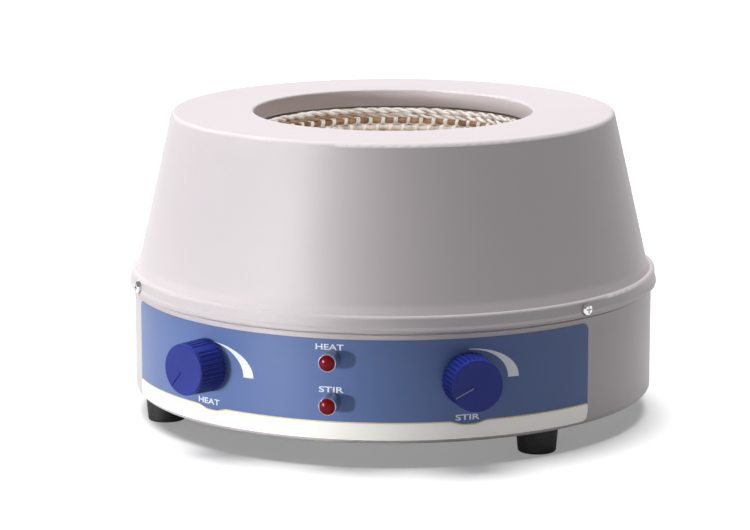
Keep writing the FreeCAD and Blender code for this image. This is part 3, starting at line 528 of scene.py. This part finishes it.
NODE_FINISH = {
    "hood_shell": PAINT, "base_shell": PAINT, "base_plate": ZINC, "front_label": BLUE_FILM,
    "rubber_feet": rubber(), "foot_screws": SCREW, "base_nuts": SCREW, "hood_screws": SCREW,
    "hood_nut_clips": ZINC, "bowl_insulation": wool("glass_wool", (0.74, 0.70, 0.58)), "heater_pan": SPUN,
    "bowl_clamp_ring": SPUN, "stud_spacers": SCREW, "hood_studs": SCREW, "stud_nuts": SCREW,
    "heat_shield": ALUMINIUM, "shield_pillars": ZINC, "pillar_screws": SCREW, "motor_bracket": ZINC,
    "stir_motor": MOTOR, "motor_bearing": BRASS, "motor_screws": SCREW, "rotor_shaft": SCREW,
    "magnet_carrier": BLACK, "drive_magnets": FERRITE, "carrier_grub_screw": SCREW,
    "heat_knob": KNOB, "stir_knob": KNOB, "heat_knob_grub_screw": SCREW, "stir_knob_grub_screw": SCREW,
    "heat_pot_shaft": ALUMINIUM, "stir_pot_shaft": ALUMINIUM, "heat_pot_case": CONTACT,
    "stir_pot_case": CONTACT, "panel_nuts": SCREW, "heat_lamp_bezel": BEZEL, "stir_lamp_bezel": BEZEL,
    "heat_lamp_lens": LENS, "stir_lamp_lens": LENS,
    "lamp_leds": moulded("led_red", (0.5, 0.03, 0.03), 0.2), "mains_inlet": BLACK,
    "inlet_pins": CONTACT, "fuse_drawer": BLACK, "fuse_link": clear_glass(), "mains_switch_case": BLACK,
    "mains_switch_rocker": GLOSS_BLACK, "control_board": circuit_board(), "board_posts": BRASS,
    "triac_heatsink": ALUMINIUM, "board_components": BLACK, "transformer_core": laminations(),
    "transformer_coil": TAPE, "transformer_bracket": ZINC, "terminal_block": CERAMIC, "floor_screws": SCREW,
    "heater_leads": braided_sleeve("glass_sleeve", (0.72, 0.68, 0.58)), "mains_leads": BROWN_LEAD,
    "motor_leads": RED_LEAD,
}


def dress_cad_nodes():
    """Gives the CAD nodes listed in NODE_FINISH their finishes; the plain heating bowl is not among them, as
    knitted_bowl() replaces it.
    """
    for name, material in NODE_FINISH.items():
        mesh = NODES[name].data
        mesh.materials.clear()
        mesh.materials.append(material)


# ---------------------------------------------------------------- knitted bowl


def bowl_point(angle, arc, depth):
    """A point on the knitted layer: arc is the distance down from the rim, depth is towards the centre."""
    tilt = arc / BOWL_R
    radius = (BOWL_R - depth) * np.cos(tilt)
    height = BOWL_Z - (BOWL_R - depth) * np.sin(tilt)
    return np.stack([radius * np.cos(angle), radius * np.sin(angle), height], -1)


def bowl_inward(angle, arc):
    """The direction from the knitted layer to the bowl's centre."""
    tilt = np.broadcast_to(arc / BOWL_R, np.shape(angle))
    return -np.stack([np.cos(tilt) * np.cos(angle), np.cos(tilt) * np.sin(angle), -np.sin(tilt)], -1)


def smooth_noise(count, every, spread):
    """Closed run of slowly varying random numbers."""
    knots = rng.uniform(-spread, spread, max(3, count // every))
    at = np.linspace(0, len(knots), count, endpoint=False)
    low = at.astype(int)
    t = at - low
    t = t * t * (3 - 2 * t)
    return knots[low] * (1 - t) + knots[(low + 1) % len(knots)] * t


def row_stitches(arc):
    """How many stitches go round a row, as an even number."""
    around = 2 * math.pi * BOWL_R * math.cos(arc / BOWL_R)
    return max(4, 2 * round(around / STITCH / 2))


def twisted_row(strands, arc, phase):
    """Two plies of yarn twisted so that each shows one bead per stitch."""
    stitches = row_stitches(arc)
    steps = stitches * 9
    turn = np.arange(steps) / steps
    angle = turn * 2 * math.pi + phase
    for ply in (0, 1):
        twist = math.pi * (stitches * turn + ply)
        sideways = PLY_SWING[0] * np.cos(twist) + smooth_noise(steps, 12, 0.25)
        depth = PLY_SWING[1] * np.sin(twist) + smooth_noise(steps, 12, 0.25)
        fat = 1.0 + smooth_noise(steps, 7, 0.18)
        strands.add(bowl_point(angle, arc + sideways, depth), bowl_inward(angle, arc),
                    PLY_HALF[0] * fat, PLY_HALF[1] * fat, closed=True)


def bead_row(cords, ties, arc, phase):
    """Thick cord pinched into beads by a pair of ties at every stitch, with a yarn along each side."""
    stitches = row_stitches(arc)
    steps = stitches * 10
    turn = np.arange(steps) / steps
    angle = turn * 2 * math.pi + phase
    pinch = 0.5 + 0.5 * np.cos(2 * math.pi * stitches * turn)
    swell = 1.0 - CORD_PINCH * pinch ** 3
    sideways = smooth_noise(steps, 14, 0.22)
    cords.add(bowl_point(angle, arc + sideways, np.full(steps, 0.1)), bowl_inward(angle, arc),
              CORD_HALF[0] * swell, CORD_HALF[1] * swell, closed=True)
    for side in (-1, 1):
        scallop = side * (SIDE_AWAY - SIDE_DRAWN * pinch) + smooth_noise(steps, 9, 0.15)
        lift = -0.3 + 0.9 * pinch + smooth_noise(steps, 9, 0.15)
        ties.add(bowl_point(angle, arc + scallop, lift), bowl_inward(angle, arc), *SIDE_HALF, closed=True)
    add_ties(ties, arc, phase, stitches)


def add_ties(ties, arc, phase, stitches):
    """The pairs of short yarns that arch over a cord between its beads."""
    radius = BOWL_R * math.cos(arc / BOWL_R)
    sweep = np.linspace(-1, 1, 9)
    for i in range(stitches):
        centre = 2 * math.pi * i / stitches + phase
        for side in (-1, 1):
            jitter = rng.uniform(-0.2, 0.2, 3)
            across = side * TIE_APART + 0.5 * sweep + jitter[0]
            along = TIE_REACH * np.sin(sweep * math.pi / 2) + jitter[1] * 0.5
            depth = -1.2 + 3.1 * np.cos(sweep * math.pi / 2) ** 0.8 + jitter[2] * 0.4
            angle = centre + across / radius
            ties.add(bowl_point(angle, arc + along, depth), bowl_inward(angle, arc), *TIE_HALF)


def knitted_bowl():
    """Two twisted rows at the rim, then heater cord and white cord in turn down to the bottom of the bowl."""
    rim, second, white, heater, ties = Strands(8), Strands(8), Strands(10), Strands(10), Strands(6)
    twisted_row(rim, RIM_ROWS[0], 0.0)
    twisted_row(second, RIM_ROWS[1], 0.05)
    rows = int((BOWL_R * math.pi / 2 - FIRST_CORD) / ROW_PITCH)
    for k in range(rows):
        bead_row(heater if k % 2 == 0 else white, ties, FIRST_CORD + ROW_PITCH * k, rng.uniform(0, 0.03))
    bowl = rim.piece("bowl_rim_row", YARN_WHITE, "glass_yarn")
    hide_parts("heating_bowl")
    second.piece("bowl_second_row", yarn_warming(), "glass_yarn")
    white.piece("bowl_white_cord", YARN_CORD, "glass_yarn")
    heater.piece("bowl_heater_cord", HEATER_CORD, "glass_yarn")
    ties.piece("bowl_tie_stitches", YARN_TIE, "glass_yarn")
    tilts = np.radians(np.linspace(0.4, 90, 60))
    inner, outer = [[(r * math.cos(t), BOWL_Z - r * math.sin(t)) for t in tilts] for r in BACKING_R]
    turned("bowl_backing", inner + outer[::-1] + MOUTH, knit_backing_painted_shade())


# ---------------------------------------------------------------- printed label


def wrap(u, z, lift):
    """A label point: u runs round the cylinder to the viewer's right, in millimetres."""
    angle = np.asarray(u, float) / FILM_R
    radius = FILM_R + lift
    height = np.broadcast_to(z, np.shape(angle))
    return np.stack([radius * np.sin(angle), -radius * np.cos(angle), height], -1)


def printed_patch(name, edges, material):
    """A thin closed print between four lines: its face's lower and upper edge, then its back's."""
    n = len(edges[0])
    low, high, back_low, back_high = (np.arange(n) + k * n for k in range(4))
    faces = []
    for p, q in ((low, high), (high, back_high), (back_high, back_low), (back_low, low)):
        faces += [(p[i], p[i + 1], q[i + 1], q[i]) for i in range(n - 1)]
    faces += [(low[0], high[0], back_high[0], back_low[0]), (low[-1], back_low[-1], back_high[-1], high[-1])]
    return new_piece(name, np.concatenate(edges), faces, material, smooth=False)


def printed_strip(name, u, low, high, lift, material, back_lift=INK_BACK):
    """A printed strip between two height curves."""
    printed_patch(name, [wrap(u, z, out) for out in (lift, back_lift) for z in (low, high)], material)


def band_edge(u):
    """Top of the white band, with a rounded dip under each knob."""
    edge = np.full(len(u), BAND_TOP)
    for centre, _ in SWEEP_CENTRES.values():
        off = np.abs(u - centre)
        t = np.clip((DIP_HALF - off) / (DIP_HALF - DIP_FLAT), 0, 1)
        edge -= DIP_DEPTH * t * t * (3 - 2 * t)
    return edge


def label_bands():
    """White band along the bottom of the film, wrapped over the film's edge, and the gold line above it."""
    half = LABEL_HALF * FILM_R + OVERLAP
    u = np.linspace(-half, half, 421)
    reach = np.clip(LABEL_CORNER - (half - np.abs(u)), 0, LABEL_CORNER)
    low = LABEL_LOW - OVERLAP + LABEL_CORNER - np.sqrt(LABEL_CORNER ** 2 - reach ** 2)
    edge = band_edge(u)
    printed_strip("label_white_band", u, low, edge, BAND_LIFT, WHITE_PRINT, back_lift=FILM_BACK - FILM_R)
    u, edge = u[1:-1], edge[1:-1]
    printed_strip("label_gold_line", u, edge - 0.05, edge + GOLD_W, GOLD_LIFT, GOLD_PRINT)


def label_sweeps():
    """Tapered arc beside each knob, thin at twelve o'clock and thick at three."""
    turn = np.linspace(0, math.pi / 2, 49)
    for name, (u, z) in SWEEP_CENTRES.items():
        edges = [wrap(u + wide * np.sin(turn), z + tall * np.cos(turn), lift)
                 for lift in (SWEEP_LIFT, INK_BACK) for wide, tall in (SWEEP_INNER, SWEEP_OUTER)]
        printed_patch(f"label_sweep_{name}", edges, LEGEND_PRINT)


def label_word(name, word, u, z, width):
    """A control legend, set flat as text and then wrapped round the film."""
    curve = bpy.data.curves.new(name + "_text", "FONT")
    curve.body = word
    curve.offset = 0.016
    curve.extrude = 0.01
    curve.resolution_u = 5
    text = bpy.data.objects.new(name + "_text", curve)
    mesh = bpy.data.meshes.new_from_object(text)
    loose = np.array([v.co for v in mesh.vertices], float)
    points, weld = np.unique(loose.round(6), axis=0, return_inverse=True)
    faces = [tuple(weld.ravel()[list(p.vertices)]) for p in mesh.polygons]
    low, high = points.min(0), points.max(0)
    flat = (points[:, :2] - (low + high)[:2] / 2) * np.array([width, WORD_TALL]) / (high - low)[:2]
    lift = np.where(points[:, 2] > 0, WORD_LIFT, INK_BACK)
    bpy.data.objects.remove(text)
    bpy.data.curves.remove(curve)
    verts = wrap(u + flat[:, 0], z + flat[:, 1], lift)
    new_piece(name, verts, faces, LEGEND_PRINT, smooth=False)


# ---------------------------------------------------------------- marks on the controls, and a painted highlight


def prism(outline, low, high):
    """Vertices and faces of a flat-ended prism from a closed outline of (x, y) points."""
    n = len(outline)
    verts = [(x, y, z) for z in (low, high) for x, y in outline]
    faces = [tuple(range(n))[::-1], tuple(range(n, 2 * n))]
    faces += [(i, (i + 1) % n, n + (i + 1) % n, n + i) for i in range(n)]
    return verts, faces


def ring(outer, inner, low, high, parts=40):
    """Vertices and faces of a flat ring."""
    turn = np.arange(parts) * 2 * math.pi / parts
    corners = ((outer, low), (outer, high), (inner, high), (inner, low))
    verts = [(r * math.cos(t), r * math.sin(t), z) for r, z in corners for t in turn]
    faces = []
    for k in range(4):
        for i in range(parts):
            j, a, b = (i + 1) % parts, k * parts, (k + 1) % 4 * parts
            faces.append((a + i, a + j, b + j, b + i))
    return verts, faces


def on_wall(points, azimuth, z, radius):
    """From a wall frame (x to the viewer's right, y up, z outwards) to the object's frame."""
    a = math.radians(azimuth)
    right, out = np.array([math.cos(a), math.sin(a), 0.0]), np.array([math.sin(a), -math.cos(a), 0.0])
    x, y, depth = np.asarray(points, float).T[:, :, None]
    return x * right + (radius + depth) * out + (y + z) * np.array([0.0, 0.0, 1.0])


def tilted(points, degrees, pivot):
    """Turned about the frame's x axis, at a height above the wall."""
    a = math.radians(degrees)
    x, y, z = np.asarray(points, float).T
    return np.stack([x, y * math.cos(a) - (z - pivot) * math.sin(a),
                     y * math.sin(a) + (z - pivot) * math.cos(a) + pivot], -1)


def rocker_marks():
    """A bar on the rocker's upper half and a ring on its lower half."""
    slope = math.degrees(math.atan2(ROCKER_LIFT - ROCKER_VALLEY, ROCKER_END))
    height = ROCKER_PIVOT + (ROCKER_LIFT + ROCKER_VALLEY) / 2
    x, y = BAR_HALF
    bar = prism([(-x, -y), (x, -y), (x, y), (-x, y)], -MARK_HALF, MARK_HALF)
    circle = ring(*RING_R, -MARK_HALF, MARK_HALF)
    for name, (verts, faces), side in (("rocker_mark_on", bar, 1), ("rocker_mark_off", circle, -1)):
        points = tilted(verts, side * slope, 0.0) + np.array([0.0, side * ROCKER_END / 2, height])
        points = tilted(points, ROCKER_SWING, ROCKER_PIVOT) + np.array([SWITCH_X, 0.0, 0.0])
        points = on_wall(points, 180.0, SWITCH_Z, POCKET_Y)
        new_piece(name, points, faces, MARK_WHITE, body="power_rocker", smooth=False)


def stir_pointer_highlight():
    """Pale strip in the pointer groove of the stirrer knob: a painted highlight where the groove's wall would
    catch the light.
    """
    half, deep = POINTER_HIGHLIGHT_STRIP
    section = [(-half, KNOB_FACE - deep + half), (0.0, KNOB_FACE - deep), (half, KNOB_FACE - deep + half),
               (half, KNOB_FACE - 0.06), (-half, KNOB_FACE - 0.06)]
    verts, faces = prism(section, *POINTER_SPAN)
    x, z, y = np.array(verts).T
    a = math.radians(-STIR_POINTER)
    verts = np.stack([x * math.cos(a) - y * math.sin(a), x * math.sin(a) + y * math.cos(a), z], -1)
    verts = on_wall(verts, KNOB_AZ, KNOB_Z, BASE_R)
    faces = [f[::-1] for f in faces]
    new_piece("stir_knob_pointer_line", verts, faces, POINTER_HIGHLIGHT, body="stir_control", smooth=False)


# ---------------------------------------------------------------- studio


def area_light(name, location, target, size, power, size_y=None, spread=180.0):
    """A rectangular lamp aimed at a target."""
    light = bpy.data.lights.new(name, "AREA")
    light.energy = power
    light.spread = math.radians(spread)
    light.shape = "RECTANGLE"
    light.size = size
    light.size_y = size_y or size
    obj = bpy.data.objects.new(name, light)
    obj.location = location
    obj.rotation_euler = (Vector(target) - Vector(location)).to_track_quat("-Z", "Y").to_euler()
    bpy.context.scene.collection.objects.link(obj)
    return obj


def studio_floor():
    """Pale floor that looks white to the camera but bounces little light up the casing."""
    mesh = bpy.data.meshes.new("floor")
    corners = [(x * FLOOR_HALF, y * FLOOR_HALF, 0) for x, y in ((-1, -1), (1, -1), (1, 1), (-1, 1))]
    mesh.from_pydata(corners, [], [(0, 1, 2, 3)])
    floor = bpy.data.objects.new("floor", mesh)
    n = Nodes("pale_floor")
    rays = n.make("ShaderNodeLightPath").outputs
    seen = n.maths("MAXIMUM", rays["Is Camera Ray"], rays["Is Glossy Ray"])
    pale = n.ramp(n.noise(3.0), [(0.3, (0.80, 0.80, 0.80)), (0.7, (0.82, 0.82, 0.82))])
    glow = n.span(rays["Is Camera Ray"], *FLOOR_GLOW)
    mesh.materials.append(n.finish(colour=n.mix(seen, FLOOR_BOUNCE, pale), roughness=0.9, specular=0.1,
                                   emission=glow, emission_colour=(1, 1, 1)))
    bpy.context.scene.collection.objects.link(floor)


def studio_world():
    """White backdrop for the camera, dimmer in reflections and nearly dark as a light."""
    world = bpy.data.worlds.new("studio_world")
    world.use_nodes = True
    tree = world.node_tree
    path = tree.nodes.new("ShaderNodeLightPath")
    strength = None
    for ray, level in (("Is Glossy Ray", WORLD_GLOSSY), ("Is Camera Ray", WORLD_SEEN)):
        span = tree.nodes.new("ShaderNodeMapRange")
        span.inputs["To Max"].default_value = level
        tree.links.new(path.outputs[ray], span.inputs["Value"])
        if strength:
            tree.links.new(strength, span.inputs["To Min"])
        else:
            span.inputs["To Min"].default_value = WORLD_FILL
        strength = span.outputs["Result"]
    tree.links.new(strength, tree.nodes["Background"].inputs["Strength"])
    tree.nodes["Background"].inputs["Color"].default_value = (1, 1, 1, 1)
    bpy.context.scene.world = world


def sun_light(name, azimuth, height, softness, strength):
    """A distant light. azimuth is from the front, positive to the viewer's right."""
    light = bpy.data.lights.new(name, "SUN")
    light.energy = strength
    light.angle = math.radians(softness)
    obj = bpy.data.objects.new(name, light)
    a, h = math.radians(azimuth), math.radians(height)
    towards = Vector((math.sin(a) * math.cos(h), -math.cos(a) * math.cos(h), math.sin(h)))
    obj.rotation_euler = towards.to_track_quat("Z", "Y").to_euler()
    bpy.context.scene.collection.objects.link(obj)
    return obj


def gridded_key():
    """Softbox with a grid, aimed so that its edge falls off across the middle of the front."""
    a = math.radians(KEY_AZ)
    towards = Vector((math.sin(a), -math.cos(a), 0.0))
    across = Vector((math.cos(a), math.sin(a), 0.0))
    target = across * (KEY_EDGE - KEY_WIDE / 2) + Vector((0, 0, KEY_Z))
    place = target + towards * KEY_AWAY + Vector((0, 0, KEY_RISE))
    key = area_light("key_left", place, target, KEY_WIDE, KEY_POWER, size_y=KEY_TALL, spread=KEY_SPREAD)
    key.rotation_euler.rotate_axis("Z", math.radians(KEY_ROLL))


def aim_only_at(lamp, pieces):
    """The lamp lights these pieces and nothing else."""
    lamp.light_linking.receiver_collection = bpy.data.collections.new(lamp.name + "_receivers")
    for piece in pieces:
        lamp.light_linking.receiver_collection.objects.link(piece)


def accent_lamps():
    """A small lamp that picks out the yarns in the bowl, and one that only glints in the indicator lenses."""
    bowl = [o for o in bpy.data.objects if o.name.startswith("bowl_") and o.type == "MESH"]
    aim_only_at(area_light("bowl_lamp", **BOWL_LAMP), bowl)
    aim_only_at(area_light("glint", **GLINT), [NODES["heat_lamp_lens"], NODES["stir_lamp_lens"]])


def studio():
    studio_floor()
    studio_world()
    sun_light("overhead", **OVERHEAD).visible_glossy = False
    gridded_key()
    area_light("front_fill", **FILL)
    accent_lamps()
    view = bpy.context.scene.view_settings
    view.view_transform = "Standard"
    view.look = "None"
    view.exposure = 0.0


def camera():
    data = bpy.data.cameras.new("camera")
    data.sensor_width = 36.0
    data.lens = CAMERA_LENS
    data.shift_x = CAMERA_SHIFT
    data.clip_end = 50.0
    obj = bpy.data.objects.new("camera", data)
    azimuth = math.radians(CAMERA_AZ)
    obj.location = (CAMERA_AWAY * math.sin(azimuth), -CAMERA_AWAY * math.cos(azimuth), CAMERA_Z)
    obj.rotation_euler = (math.radians(90 - CAMERA_DOWN), 0, azimuth)
    bpy.context.scene.collection.objects.link(obj)
    bpy.context.scene.camera = obj


dress_cad_nodes()
knitted_bowl()
label_bands()
label_sweeps()
for legend, (word, *place) in WORDS.items():
    label_word(legend, word, *place)
rocker_marks()
stir_pointer_highlight()
studio()
camera()
